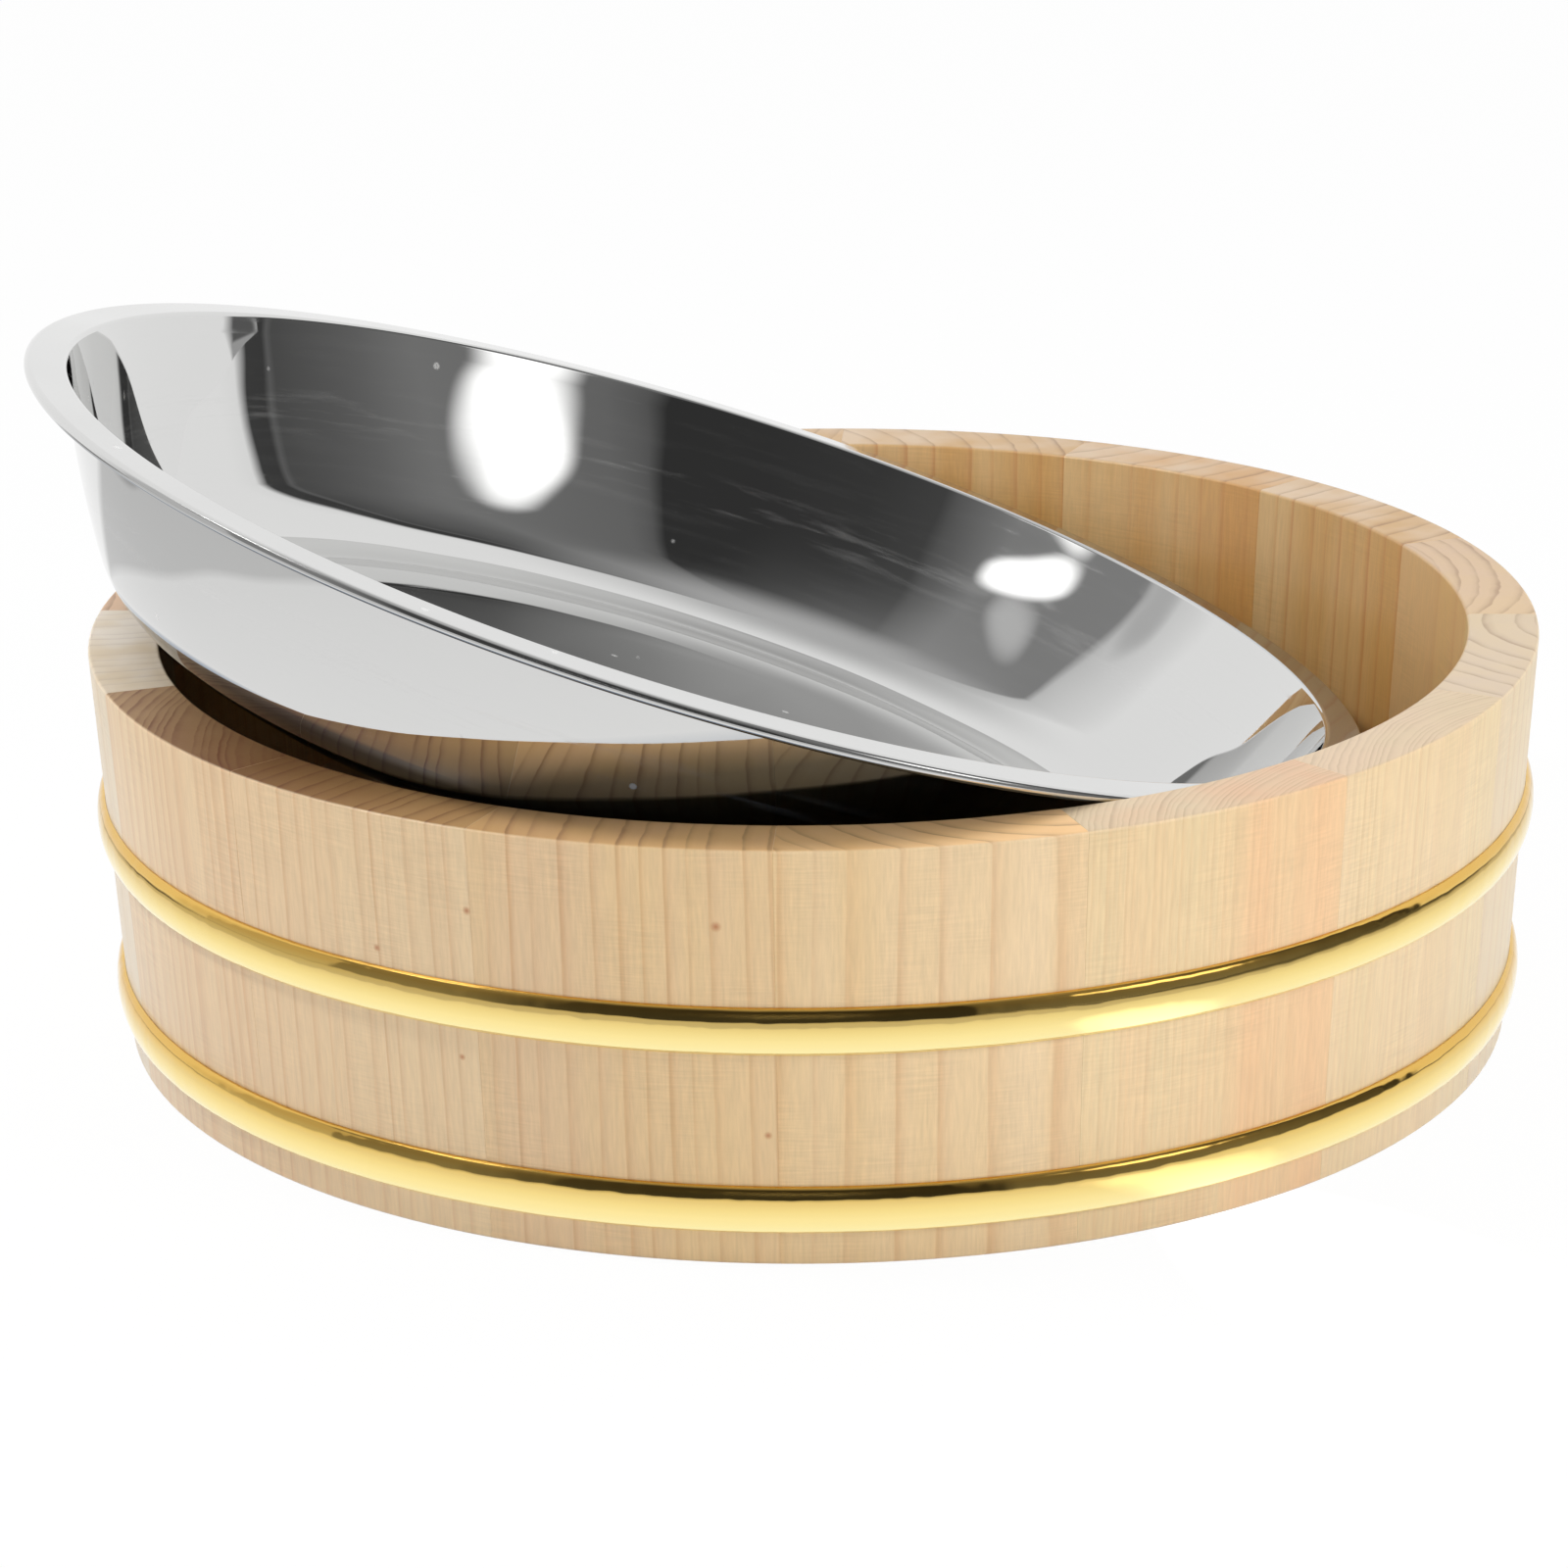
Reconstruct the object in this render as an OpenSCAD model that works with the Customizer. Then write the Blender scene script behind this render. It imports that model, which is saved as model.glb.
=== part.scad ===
// Round rice tub of coopered wood: staves in two polished hoops, a raised floor of boards,
// bamboo pegs inside the joints, and a loose sheet-steel bowl that leans in the tub.
// The origin is the middle of the standing plane, +Z is up, and all sizes are in millimetres.

/* [Tub] */
// Height of the tub
tub_h = 92.5; // [80:0.5:115]
// Outer radius of the tub at the rim
rim_r = 165; // [140:1:200]
// How much larger the radius is at the rim than at the foot
flare = 5.5; // [0:0.5:12]
// Thickness of the staves
stave_t = 16; // [12:0.5:22]
// Number of staves
stave_n = 16; // [10:1:24]
// Angle of the first joint between staves
joint_angle = -93; // [-180:0.5:180]
// Chamfer on the edges of the rim and the foot
edge_ease = 0.8; // [0.2:0.1:2]

/* [Hoops] */
// Width of a hoop
hoop_w = 10.6; // [6:0.2:14]
// How far a hoop stands proud of the staves
hoop_t = 2.3; // [1:0.1:4]
// Height of the middle of the upper hoop
upper_hoop_z = 53.1; // [35:0.1:70]
// Height of the middle of the lower hoop
lower_hoop_z = 13; // [8:0.1:24]
// Gap between a hoop and the staves
hoop_fit = 0.05; // [0.02:0.01:0.2]

/* [Floor] */
// Height of the underside of the floor above the foot
floor_recess = 14.5; // [8:0.5:22]
// Thickness of the floor boards
floor_t = 16; // [10:0.5:20]
// Number of floor boards
board_n = 4; // [2:1:6]
// Depth of the groove in the staves that holds the floor
groove_depth = 4; // [2:0.5:7]
// Gap between the floor and its groove
floor_fit = 0.1; // [0.05:0.05:0.3]

/* [Pegs] */
// Diameter of a bamboo peg
peg_d = 4; // [2.5:0.5:6]
// Length of a peg between two staves
stave_peg_len = 18; // [10:1:26]
// Length of a peg between two floor boards
board_peg_len = 30; // [16:1:40]
// Distance of the stave pegs from the rim and from the floor
peg_inset = 16; // [8:1:22]
// Distance between the two pegs of a floor joint
board_peg_gap = 140; // [60:5:160]
// Gap around a peg in its hole
peg_fit = 0.05; // [0.02:0.01:0.2]
// Room between the end of a peg and the end of its hole
peg_end_room = 0.4; // [0.1:0.1:1]

/* [Bowl] */
// How far the flange reaches past the mouth of the tub
flange_lap = 8.5; // [6:0.5:11]
// Gap between the top of the bowl's wall and the mouth of the tub
bowl_fit = 0.8; // [0.4:0.1:2]
// Depth of the bowl from the curled edge to the underside
bowl_depth = 47.8; // [44:0.2:52]
// Slope of the bowl's wall from upright, in degrees
wall_slope = 25.2; // [20:0.1:32]
// Outside radius of the corner between wall and base
corner_r = 24; // [16:0.5:28]
// Thickness of the sheet steel
sheet_t = 0.6; // [0.4:0.1:1.2]
// Inside radius of the bend between wall and flange
bend_r = 0.6; // [0.4:0.1:2]
// Droop of the flange from level, in degrees
flange_droop = 4; // [0:0.5:12]
// Radius of the curled edge
curl_r = 1.3; // [0.8:0.1:2]

/* [Bowl at rest] */
// Direction of the bowl's low side, from the +X axis
lean_angle = 10.7; // [-180:0.1:180]
// Gap under the bowl's low corner
foot_gap = 0.3; // [0.1:0.1:1]
// Gap between the flange and the mouth of the tub
flange_gap = 0.3; // [0.1:0.1:1]
// Gap between the bowl's wall and the mouth of the tub
wall_gap = 0.9; // [0.3:0.1:2]

/* [Hidden] */
$fn = 96;
// Degrees between the points of an arc in the bowl's outline
ARC_STEP = 5;
wood = [0.90, 0.80, 0.62];
gold = [0.85, 0.70, 0.25];
steel = [0.78, 0.79, 0.80];
bamboo = [0.80, 0.70, 0.45];

// Tub: radii of the slanted walls and the places worked out from them
function outer_r(z) = rim_r - flare * (1 - z / tub_h);
function inner_r(z) = outer_r(z) - stave_t;
stave_angle = 360 / stave_n;
mouth_r = inner_r(tub_h);
floor_top = floor_recess + floor_t;
groove_bottom = floor_recess - floor_fit;
groove_top = floor_top + floor_fit;
groove_r = inner_r(floor_recess) + groove_depth;
floor_r = groove_r - floor_fit;
board_w = 2 * floor_r / board_n;
lower_peg_z = floor_top + peg_inset;
upper_peg_z = tub_h - peg_inset;
hoop_arc_r = (hoop_w * hoop_w / 4 + hoop_t * hoop_t) / (2 * hoop_t);

// Bowl: radii and heights in its own frame, with the middle of the curled edge at height 0
flange_r = mouth_r + flange_lap;
wall_top_r = mouth_r - bowl_fit;
wall_foot_r = wall_top_r - bowl_depth * tan(wall_slope);
base_r = wall_foot_r - corner_r / tan(45 + wall_slope / 2);
corner_z = corner_r - bowl_depth;
corner_top_z = corner_z - corner_r * sin(wall_slope);
function wall_r(z) = wall_top_r + z * tan(wall_slope);
function corner_edge_r(z) = base_r + sqrt(max(0, corner_r * corner_r - pow(z - corner_z, 2)));
function bowl_side_r(z) = z > corner_top_z ? wall_r(z) : corner_edge_r(z);

// Flange: a plate that leaves the bend at its droop and ends on top of the curled edge
curl = [flange_r - curl_r, 0];
flange_dir = [cos(flange_droop), -sin(flange_droop)];
flange_up = [sin(flange_droop), cos(flange_droop)];
bend_drop = bend_r + sheet_t - curl_r;
curl_foot = curl - bend_drop * flange_up;
wall_out = [cos(wall_slope), -sin(wall_slope)];
curl_reach = (curl_foot - [wall_top_r, 0]) * wall_out - bend_r;
flange_w = curl_reach / cos(flange_droop - wall_slope);
bend = curl_foot - flange_w * flange_dir;

// Rest: the low corner stands on the floor, the flange meets the mouth on both sides of the
// lean, and the lean is the one at which the raised side comes down to the mouth
LEAN_LEAST = 4;
LEAN_MOST = 40;
LEAN_STEPS = 24;
NO_ROOM = -1000;
NO_WALL = 1000;
// Height of the bowl's own frame at a lean
function bowl_z(lean) =
    floor_top + foot_gap + corner_r + base_r * sin(lean) - corner_z * cos(lean);
// Square of the distance from the tub's axis, along the lean, at which the flange meets the mouth
function crossing_square(lean) =
    pow(mouth_r - flange_gap, 2) - pow(flange_r, 2) + pow((bowl_z(lean) - tub_h) / sin(lean), 2);
function bowl_x(lean) = sqrt(max(0, crossing_square(lean))) - (bowl_z(lean) - tub_h) / tan(lean);
// Room between the bowl's wall and one point of the mouth
function mouth_room(lean, turn) =
    let (
        across = mouth_r * cos(turn) - bowl_x(lean),
        up = tub_h - bowl_z(lean),
        along = across * cos(lean) - up * sin(lean),
        height = across * sin(lean) + up * cos(lean)
    )
    height < -bowl_depth ? NO_WALL :
    cos(wall_slope) * (norm([along, mouth_r * sin(turn)]) - bowl_side_r(height));
// Least room between the bowl's wall and the mouth on the raised side
function side_room(lean) =
    crossing_square(lean) < 0 ? NO_ROOM : min([for (turn = [110:2:180]) mouth_room(lean, turn)]);
function find_lean(low, high, steps) =
    let (middle = (low + high) / 2)
    steps == 0 ? middle :
    side_room(middle) < wall_gap ? find_lean(middle, high, steps - 1) :
    find_lean(low, middle, steps - 1);
bowl_lean = find_lean(LEAN_LEAST, LEAN_MOST, LEAN_STEPS);

// Names of the parts
function numbered(name, i) = str(name, "_", i < 10 ? "0" : "", i);
stave_names = [for (i = [1:stave_n]) numbered("stave", i)];
board_names = [for (i = [1:board_n]) numbered("floor_board", i)];

// Upright cut through a stave, with eased edges and the groove for the floor
module stave_section() {
    low = edge_ease;
    high = tub_h - edge_ease;
    polygon([
        [inner_r(0) + edge_ease, 0],
        [outer_r(0) - edge_ease, 0],
        [outer_r(low), low],
        [outer_r(high), high],
        [outer_r(tub_h) - edge_ease, tub_h],
        [inner_r(tub_h) + edge_ease, tub_h],
        [inner_r(high), high],
        [inner_r(groove_top), groove_top],
        [groove_r, groove_top],
        [groove_r, groove_bottom],
        [inner_r(groove_bottom), groove_bottom],
        [inner_r(low), low]
    ]);
}

// Two bars across one joint between staves, for the pegs and for their holes
module stave_joint_bars(joint, radius, length) {
    rotate([0, 0, joint_angle + joint * stave_angle])
    for (z = [lower_peg_z, upper_peg_z])
        translate([outer_r(z) - stave_t / 2, 0, z])
        rotate([90, 0, 0])
        cylinder(r = radius, h = length, center = true);
}

// Two bars across one joint between floor boards, for the pegs and for their holes
module board_joint_bars(joint, radius, length) {
    for (side = [-1, 1])
        translate([joint * board_w - floor_r, side * board_peg_gap / 2, floor_recess + floor_t / 2])
        rotate([0, 90, 0])
        cylinder(r = radius, h = length, center = true);
}

// One stave, bored at both edges
module stave(i) {
    color(wood)
    difference() {
        rotate([0, 0, joint_angle + (i - 1) * stave_angle])
        rotate_extrude(angle = stave_angle)
        stave_section();
        for (joint = [i - 1, i])
            stave_joint_bars(joint, peg_d / 2 + peg_fit, stave_peg_len + 2 * peg_end_room);
    }
}

// One floor board, cut from the round floor and bored at its inner edges
module floor_board(i) {
    color(wood)
    difference() {
        translate([0, 0, floor_recess])
        intersection() {
            cylinder(r = floor_r, h = floor_t);
            translate([(i - 1) * board_w - floor_r, -floor_r, 0])
            cube([board_w, 2 * floor_r, floor_t]);
        }
        for (joint = [max(1, i - 1):min(i, board_n - 1)])
            board_joint_bars(joint, peg_d / 2 + peg_fit, board_peg_len + 2 * peg_end_room);
    }
}

// Half-oval band around the staves at height z
module hoop(z) {
    low = z - hoop_w;
    high = z + hoop_w;
    color(gold)
    rotate_extrude()
    intersection() {
        translate([outer_r(z) + hoop_t - hoop_arc_r, z])
        circle(r = hoop_arc_r);
        polygon([
            [outer_r(low) + hoop_fit, low],
            [rim_r + hoop_arc_r, low],
            [rim_r + hoop_arc_r, high],
            [outer_r(high) + hoop_fit, high]
        ]);
    }
}

// Pegs of all joints between staves
module stave_pegs() {
    color(bamboo)
    for (joint = [1:stave_n])
        stave_joint_bars(joint, peg_d / 2, stave_peg_len);
}

// Pegs of all joints between floor boards
module floor_pegs() {
    color(bamboo)
    for (joint = [1:board_n - 1])
        board_joint_bars(joint, peg_d / 2, board_peg_len);
}

// Points along an arc around a centre, from one angle to another
function arc(centre, radius, from, to) =
    let (steps = ceil(abs(to - from) / ARC_STEP))
    [for (i = [0:steps]) let (a = from + (to - from) * i / steps) centre + radius * [cos(a), sin(a)]];

// Upright cut through the bowl's sheet: out along its underside, round the curled edge,
// and back along its upper side
module bowl_section() {
    corner = [base_r, corner_z];
    curl_start = 180 - asin((curl_r - sheet_t) / curl_r) - flange_droop;
    polygon(concat(
        [[0, -bowl_depth]],
        arc(corner, corner_r, -90, -wall_slope),
        arc(bend, bend_r, 180 - wall_slope, 90 - flange_droop),
        arc(curl, curl_r, curl_start, 450 - flange_droop),
        arc(bend, bend_r + sheet_t, 90 - flange_droop, 180 - wall_slope),
        arc(corner, corner_r - sheet_t, -wall_slope, -90),
        [[0, sheet_t - bowl_depth]]
    ));
}

// The bowl where it rests
module bowl() {
    color(steel)
    rotate([0, 0, lean_angle])
    translate([bowl_x(bowl_lean), 0, bowl_z(bowl_lean)])
    rotate([0, bowl_lean, 0])
    rotate_extrude()
    bowl_section();
}

for (i = [1:stave_n])
    stave(i);
for (i = [1:board_n])
    floor_board(i);
hoop(upper_hoop_z);  // hoop_upper
hoop(lower_hoop_z);  // hoop_lower
stave_pegs();
floor_pegs();
bowl();
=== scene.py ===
"""Round rice tub of coopered spruce in two polished hoops, with a loose steel bowl leaning in it."""
import math
from collections import namedtuple

import bmesh
import bpy
from mathutils import Matrix, Quaternion, Vector


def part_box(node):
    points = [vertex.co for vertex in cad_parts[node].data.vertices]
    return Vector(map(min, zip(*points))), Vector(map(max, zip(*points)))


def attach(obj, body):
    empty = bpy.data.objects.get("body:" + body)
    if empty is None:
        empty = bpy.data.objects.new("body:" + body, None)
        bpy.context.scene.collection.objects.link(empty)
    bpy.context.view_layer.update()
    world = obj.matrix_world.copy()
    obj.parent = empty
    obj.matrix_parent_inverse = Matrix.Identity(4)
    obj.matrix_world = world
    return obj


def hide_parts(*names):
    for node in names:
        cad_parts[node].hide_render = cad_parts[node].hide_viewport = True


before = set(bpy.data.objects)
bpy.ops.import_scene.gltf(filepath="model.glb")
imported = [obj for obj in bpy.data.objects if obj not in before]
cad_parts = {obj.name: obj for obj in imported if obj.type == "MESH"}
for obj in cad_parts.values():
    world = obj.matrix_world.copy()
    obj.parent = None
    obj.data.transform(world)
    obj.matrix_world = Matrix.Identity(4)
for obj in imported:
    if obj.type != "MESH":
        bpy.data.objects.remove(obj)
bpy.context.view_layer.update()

MM = 0.001

# The upright direction, and what keeps only the level share of a direction
UP = (0, 0, 1)
LEVEL = (1, 1, 0)

# Tub sizes in metres, the same as the solids'
TUB_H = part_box("stave_01")[1].z
RIM_R = 165 * MM
FLARE = 5.5 * MM
STAVE_T = 16 * MM
STAVE_N = 16
STAVE_ANGLE = math.tau / STAVE_N
STAVE_LEAN = math.atan(FLARE / TUB_H)
STAVE_HALF_W = RIM_R * math.sin(STAVE_ANGLE / 2)
FIRST_JOINT = math.radians(-93)
EDGE_EASE = 0.8 * MM
EASE_STEPS = 3
JOINT_EASE = 0.08 * MM
STAVE_STEPS = 12
FLOOR_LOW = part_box("floor_board_01")[0].z
FLOOR_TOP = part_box("floor_board_01")[1].z
FLOOR_R = -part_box("floor_board_01")[0].x
FLOOR_FIT = 0.1 * MM

# Hoops
HOOP_W = 10.6 * MM
HOOP_T = 2.3 * MM
HOOP_FIT = 0.05 * MM
HOOP_ARC_STEPS = 20
RING_STEPS = 256

# Bowl, in its own frame with the middle of the curled edge at height 0
SHEET_T = 0.6 * MM
BOWL_DEPTH = 47.8 * MM
FLANGE_R = RIM_R - STAVE_T + 8.5 * MM
WALL_TOP_R = RIM_R - STAVE_T - 0.8 * MM
WALL_SLOPE = math.radians(25.2)
WALL_BOW = math.radians(5)
WALL_STEPS = 12
CORNER_R = 24 * MM
BEND_R = 0.6 * MM
FLANGE_DROOP = math.radians(4)
CURL_R = 1.3 * MM
ARC_STEP = math.radians(3)

# Share of a straight run, at each of its ends, that takes up the shading of the bend beside it
BEND_HOLD = 0.03

# Bowl at rest: it leans towards its low side
BOWL_LEAN = math.radians(17.9382)
BOWL_LOW_SIDE = math.radians(10.7)
BOWL_REST = Vector((-25.4497, 0, 111.469)) * MM

# Limits of the modelling tools: points that count as one, angles in radians that count as none, and
# the sharpest edge that is shaded as round
MERGE_GAP = 0.001 * MM
TURN_SLACK = 1e-4
SMOOTH_EDGE = math.radians(32)

# Camera, from a fit to the photograph: sizes in pixels, sensor in millimetres, turns in radians
PHOTO_SIZE = 1600
PHOTO_FOCAL = 5399.5
SENSOR = 36
CAMERA_PLACE = Vector((0, -1161.8, 442.5)) * MM
CAMERA_DOWN = math.radians(16.761)
CAMERA_YAW = 0.00582
CAMERA_TILT = -0.0325
CAMERA_ROLL = 0.01279


def outer_r(z):
    """Outside radius of the flared tub at a height."""
    return RIM_R - FLARE * (1 - z / TUB_H)


def inner_r(z):
    """Inside radius of the flared tub at a height."""
    return outer_r(z) - STAVE_T


# Modelling tools

def draw_section(name, outline):
    """A new piece in edit mode: one vertex, extruded along the points of an upright section."""
    bpy.ops.object.select_all(action="DESELECT")
    bpy.ops.mesh.primitive_plane_add(size=MM)
    piece = bpy.context.object
    piece.name = name
    piece.data.name = name
    bpy.ops.object.mode_set(mode="EDIT")
    bpy.ops.mesh.select_mode(type="VERT")
    bpy.ops.mesh.select_all(action="SELECT")
    bpy.ops.mesh.merge(type="CENTER")
    bpy.ops.transform.translate(value=(outline[0][0], 0, outline[0][1]))
    for here, there in zip(outline, outline[1:]):
        step = (there[0] - here[0], 0, there[1] - here[1])
        bpy.ops.mesh.extrude_region_move(TRANSFORM_OT_translate={"value": step})
    return piece


def pick(piece, kind, test):
    """Select the vertices or edges of a piece in edit mode that pass a test."""
    bpy.ops.mesh.select_mode(type=kind)
    bpy.ops.mesh.select_all(action="DESELECT")
    mesh = bmesh.from_edit_mesh(piece.data)
    for part in mesh.verts if kind == "VERT" else mesh.edges:
        part.select = test(part)
    mesh.select_flush_mode()
    bmesh.update_edit_mesh(piece.data)


def spin_round(angle, steps):
    """Spin what is drawn about the upright axis and close it, with its faces outwards.
    The operator turns clockwise, so its angle is minus the one asked for."""
    bpy.ops.mesh.select_all(action="SELECT")
    bpy.ops.mesh.spin(steps=steps, angle=-angle, center=(0, 0, 0), axis=UP)
    bpy.ops.mesh.select_all(action="SELECT")
    bpy.ops.mesh.remove_doubles(threshold=MERGE_GAP)
    bpy.ops.mesh.normals_make_consistent(inside=False)


def smooth(piece):
    """Leave edit mode and round the shading over all but the sharp edges."""
    bpy.ops.object.mode_set(mode="OBJECT")
    bpy.ops.object.select_all(action="DESELECT")
    piece.select_set(True)
    bpy.context.view_layer.objects.active = piece
    bpy.ops.object.shade_smooth_by_angle(angle=SMOOTH_EDGE)


def arc(centre, radius, start, end):
    """Points along an arc, from one angle to another."""
    steps = math.ceil(abs(end - start) / ARC_STEP)
    angles = [start + (end - start) * i / steps for i in range(steps + 1)]
    return [(centre[0] + radius * math.cos(a), centre[1] + radius * math.sin(a)) for a in angles]


def bow(start, start_way, end, end_way):
    """Points between two points along a curve that leaves and arrives in the directions given."""
    start, end = Vector(start), Vector(end)
    across = end - start
    reach = across.cross(end_way) / start_way.cross(end_way)
    corner = start + start_way * reach
    shares = [i / WALL_STEPS for i in range(1, WALL_STEPS)]
    return [tuple(start.lerp(corner, s).lerp(corner.lerp(end, s), s)) for s in shares]


def dress(piece, body, node, material):
    """Hand a finished piece over to the frame in place of a CAD node."""
    piece.data.materials.clear()
    piece.data.materials.append(material)
    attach(piece, body)
    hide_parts(node)


# Material tools

def linear(hex_colour):
    """An sRGB hex colour as linear RGBA."""
    channels = [int(hex_colour[i:i + 2], 16) / 255 for i in (1, 3, 5)]
    return [c / 12.92 if c <= 0.04045 else ((c + 0.055) / 1.055) ** 2.4 for c in channels] + [1]


def grey(brightness):
    """A linear brightness as RGBA."""
    return [brightness] * 3 + [1]


def add(tree, kind, inputs=None, stops=None, **settings):
    """Add a node with its settings, its colour stops, and values or links on its inputs."""
    new = tree.nodes.new("ShaderNode" + kind)
    for name, value in settings.items():
        setattr(new, name, value)
    if stops:
        ramp = new.color_ramp.elements
        ramp.remove(ramp[1])
        ramp[0].position = stops[0][0]
        for place, colour in stops:
            stop = ramp[0] if place == stops[0][0] else ramp.new(place)
            stop.color = colour if isinstance(colour, list) else grey(colour)
    for key, value in (inputs or {}).items():
        if isinstance(value, bpy.types.Node):
            value = value.outputs[0]
        if isinstance(value, bpy.types.NodeSocket):
            tree.links.new(value, new.inputs[key])
        else:
            new.inputs[key].default_value = value
    return new


def empty_material(name):
    """A node material with no nodes yet."""
    material = bpy.data.materials.new(name)
    material.use_nodes = True
    material.node_tree.nodes.clear()
    return material, material.node_tree


def surface_material(name):
    """A node material with its principled shader."""
    material, tree = empty_material(name)
    shader = add(tree, "BsdfPrincipled")
    add(tree, "OutputMaterial", {"Surface": shader})
    return material, tree, shader


def link(tree, shader, sockets):
    """Lead nodes or their outputs to the shader's sockets."""
    for name, source in sockets.items():
        source = source.outputs[0] if isinstance(source, bpy.types.Node) else source
        tree.links.new(source, shader.inputs[name])


# Spruce boards, with lengths in millimetres: where the heart of the tree lies, how wide the year rings
# are, how strong the late wood is along the side and on the end grain, the early wood's two tints, the
# end grain's tints from the board's first edge to its last, which carry a painted shadow of the bowl where
# they differ, and the knots.
# heart_turn 0 points out of the tub, 90 along the rim and 180 into the tub.
Board = namedtuple("Board", "heart_turn heart_reach ring_gap late end_late pale flush end end_far knots",
                   defaults=[()])
LATE_WOOD = "#BB7839"
END_LATE_WOOD = "#6B3A1A"
KNOT_WOOD = "#AE5F28"
# Multiplied into the wood inside the tub: a painted warm shade of the light bounced round in it
INSIDE_PAINTED_BOUNCE_GOLD = "#EEDFC2"
STRAW = "#E2C79E"
CREAM = "#DAC4A0"
OAT = "#E6D8C2"
SAND = "#DEC79B"
HONEY = "#DFC08F"
GOLD = "#D6AF76"
AMBER = "#DAAD72"
PEACH = "#E4BD90"
BUFF = "#DDBE95"
PALE_END = "#EAEBFA"
TAN_END = "#FFEFDC"
# Bluish end tint of stave 13: a painted sheen, the grey gloss of the white walls on its end grain
PAINTED_SHEEN_ASH_END = "#F6F8FF"
# End tints of staves 14 to 16: a painted shadow of the bowl on the rim, darkest where 14 meets 15
PAINTED_SHADOW_BROWN_END = "#907452"
PAINTED_SHADOW_DUN_END = "#C8B8A6"
PAINTED_SHADOW_CLAY_END = "#CDB795"
PAINTED_SHADOW_FAWN_END = "#E2CFB3"

# Staves 01 to 16 in order. Each knot has its degrees from the stave's first edge, height and radius.
STAVE_BOARDS = [
    Board(136, 42, 5.5, 0.44, 0.55, HONEY, STRAW, TAN_END, TAN_END),
    Board(37, 71, 1.4, 0.2, 0.35, SAND, PEACH, PALE_END, PALE_END),
    Board(11, 68, 1.5, 0.2, 0.30, STRAW, SAND, PALE_END, PALE_END),
    Board(50, 39, 5.8, 0.34, 0.45, CREAM, SAND, PALE_END, PALE_END),
    Board(170, 60, 4.6, 0.42, 0.45, HONEY, BUFF, PALE_END, PALE_END),
    Board(100, 80, 6.4, 0.75, 0.50, GOLD, STRAW, PALE_END, PALE_END),
    Board(75, 90, 7.5, 0.45, 0.50, AMBER, STRAW, PALE_END, PALE_END),
    Board(120, 75, 6.8, 0.8, 0.50, GOLD, STRAW, PALE_END, PALE_END),
    Board(60, 85, 5.0, 0.7, 0.50, GOLD, STRAW, PALE_END, PALE_END),
    Board(160, 60, 4.0, 0.42, 0.50, HONEY, STRAW, TAN_END, TAN_END),
    Board(90, 90, 2.4, 0.35, 0.45, STRAW, BUFF, PALE_END, PALE_END),
    Board(30, 80, 4.0, 0.40, 0.50, STRAW, PEACH, PALE_END, PALE_END),
    # Stave 13: its greyed end grain is a painted sheen
    Board(-88, 130, 5.0, 0.22, 0.25, OAT, CREAM, PAINTED_SHEEN_ASH_END, PAINTED_SHEEN_ASH_END),
    # Staves 14 to 16: their end tints change from edge to edge as a painted shadow of the bowl
    Board(146, 108, 2.4, 0.42, 1.0, STRAW, BUFF, PAINTED_SHADOW_DUN_END, PAINTED_SHADOW_BROWN_END),
    Board(86, 130, 5.0, 0.42, 1.0, BUFF, STRAW, PAINTED_SHADOW_BROWN_END, PAINTED_SHADOW_CLAY_END,
          ((14.1, 62, 0.9), (21.0, 41, 0.8), (22.2, 74.3, 1.0))),
    Board(97, 75, 5.3, 0.46, 0.6, BUFF, HONEY, PAINTED_SHADOW_FAWN_END, TAN_END,
          ((18.4, 75.7, 1.2), (21.8, 29.5, 0.9))),
]

# Floor boards in order: width of the year rings in millimetres, and the heart's place beside and under
# the middle of the board
FLOOR_RING_GAPS = [3.2, 2.6, 3.8, 3.0]
FLOOR_HEART_ASIDE = 30 * MM
FLOOR_HEART_UNDER = 70 * MM

# Patterns of spruce: size in millimetres across and along the trunk, detail and roughness.
# Real fibres are too fine to show, so they are drawn about twenty times as wide.
Pattern = namedtuple("Pattern", "size detail roughness", defaults=[0.5])
SPRUCE_PATTERNS = {
    "slow_bend": Pattern((40, 40, 700), 0),
    "quick_bend": Pattern((6, 6, 45), 2),
    "line_fade": Pattern((8, 8, 70), 1),
    "tint_drift": Pattern((14, 14, 260), 2),
    "fibre": Pattern((0.7, 0.7, 8), 3, 0.6),
    "plane_cut": Pattern((9, 9, 0.5), 1),
    "plane_patch": Pattern((22, 22, 22), 1),
}

# Year rings: how far the bends push them in millimetres, and how often and how far spells of good and
# bad years do, in years
SLOW_PUSH = 6
QUICK_PUSH = 1.1
SPELL_RATE = 0.3
SPELL_PUSH = 1.6

# Late-wood line: its width in millimetres and most share of a year, its darkness as the next year
# starts, the share of that year in which it is gone, and its rise in line widths before the year's end
LATE_LINE = 1.0
LATE_MOST = 0.42
LATE_REST = 0.15
LATE_GONE = 0.05
LATE_RISE = [(2.2, 0.04), (1.1, 0.35), (0.5, 0.9), (0.18, 1.0)]

# Tints and finish of spruce: how far the tint drifts from edge to edge, the radius within which the
# wood counts as inside the tub and takes a painted warm shade, and the width over which that ends, the
# height of the fibres, and what the end grain adds to the roughness
EDGE_DRIFT = 0.3
INSIDE_R = RIM_R - STAVE_T + 1 * MM
INSIDE_FADE = 2 * MM
FIBRE_HEIGHT = 0.05 * MM
END_ROUGHNESS = 0.2

# Knots: how strong they are, and the shares of their radius at which they start and end to fade
KNOT_STRENGTH = 0.8
KNOT_CORE = 0.1
KNOT_EDGE = 1.1


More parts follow.
